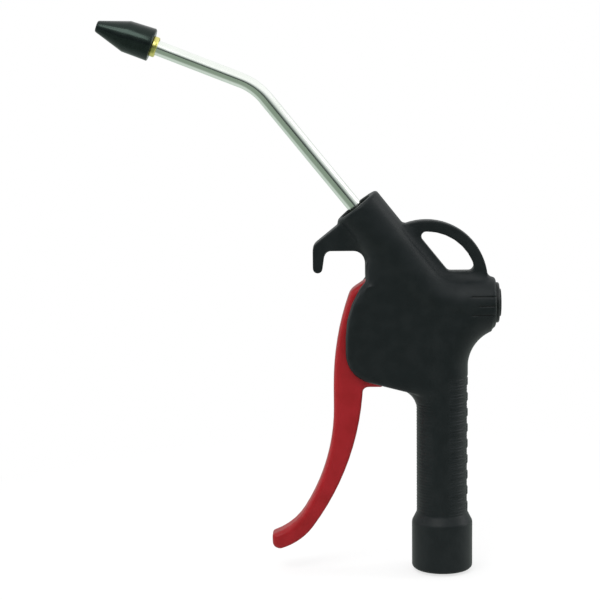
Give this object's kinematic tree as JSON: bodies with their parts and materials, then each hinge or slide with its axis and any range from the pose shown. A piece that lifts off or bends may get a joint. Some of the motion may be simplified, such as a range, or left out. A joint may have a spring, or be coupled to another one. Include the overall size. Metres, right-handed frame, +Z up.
{
  "type": "pneumatic air duster",
  "caption": "Pistol-grip air duster: hand lever opens a spring-loaded poppet valve and sends compressed air through a long bent tube to a tapered rubber tip.",
  "frame": {"origin": "centre of the air inlet's mouth, on the handle's bottom face", "axes": "+Z up along the round handle, -X towards the nozzle and the lever, +X to the rear plug, Y across the body"},
  "size_m": [0.1877, 0.0288, 0.2608],
  "materials": {
    "moulding": "fine matte texture",
    "plug_plastic": "satin",
    "lever": "satin, slightly textured",
    "brass": "turned",
    "steel": "drawn",
    "chrome_tube": "polished",
    "tip_rubber": "smooth moulded",
    "seal_rubber": "smooth"
  },
  "bodies": {
    "frame": {"body": "moulding", "inlet_bushing": "brass", "inlet_o_ring": "seal_rubber", "valve_sleeve": "brass", "sleeve_front_o_ring": "seal_rubber", "sleeve_rear_o_ring": "seal_rubber", "stem_o_ring": "seal_rubber", "valve_spring": "steel", "rear_plug": "plug_plastic", "plug_o_ring": "seal_rubber", "trigger_pin": "steel", "nozzle_adaptor": "brass", "nozzle_o_ring": "seal_rubber", "nozzle_tube": "chrome_tube", "tip_fitting": "brass", "rubber_tip": "tip_rubber"},
    "trigger": {"trigger": "lever"},
    "valve": {"valve_stem": "steel", "poppet": "brass", "poppet_seal": "seal_rubber"}
  },
  "joints": [
    {"name": "trigger_squeeze", "type": "hinge", "parent": "frame", "child": "trigger", "pos_m": [-0.0335, 0, 0.1347], "axis": [0, -1, 0], "range_deg": [0, 18], "stiffness_Nm_per_rad": 0.8, "springref_deg": -17.19},
    {"name": "valve_travel", "type": "slide", "parent": "frame", "child": "valve", "axis": [1, 0, 0], "range_m": [0, 0.0026], "stiffness_N_per_m": 100, "springref_m": -0.003, "deforming": ["valve_spring"]}
  ],
  "couplings": [
    {"joint": "valve_travel", "follows": "trigger_squeeze", "m_per_rad": 0.00822}
  ]
}
